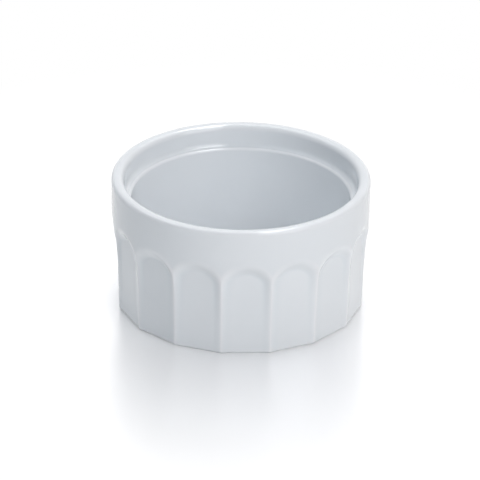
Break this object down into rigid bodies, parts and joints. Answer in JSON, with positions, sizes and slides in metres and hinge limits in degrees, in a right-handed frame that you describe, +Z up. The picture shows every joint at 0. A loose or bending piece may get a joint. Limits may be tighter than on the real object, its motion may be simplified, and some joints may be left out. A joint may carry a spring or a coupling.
{
  "type": "ramekin",
  "caption": "Round straight-sided porcelain ramekin with arched flutes round the wall, a plain band, a rounded rim and an inner ledge.",
  "frame": {"origin": "centre of the foot ring, on the surface that the dish stands on", "axes": "+Z up along the dish's axis, out of its mouth; the middle of a flute faces -Y"},
  "size_m": [0.09, 0.09, 0.0475],
  "materials": {
    "bare_porcelain": "fired unglazed porcelain, smooth and matt",
    "white_glaze": "glossy cool white glaze",
    "underside_glaze": "glossy cool white glaze, slightly thinner than outside"
  },
  "bodies": {
    "root": {"porcelain_body": "bare_porcelain", "glaze_coat": "white_glaze", "underside_glaze": "underside_glaze"}
  },
  "joints": []
}
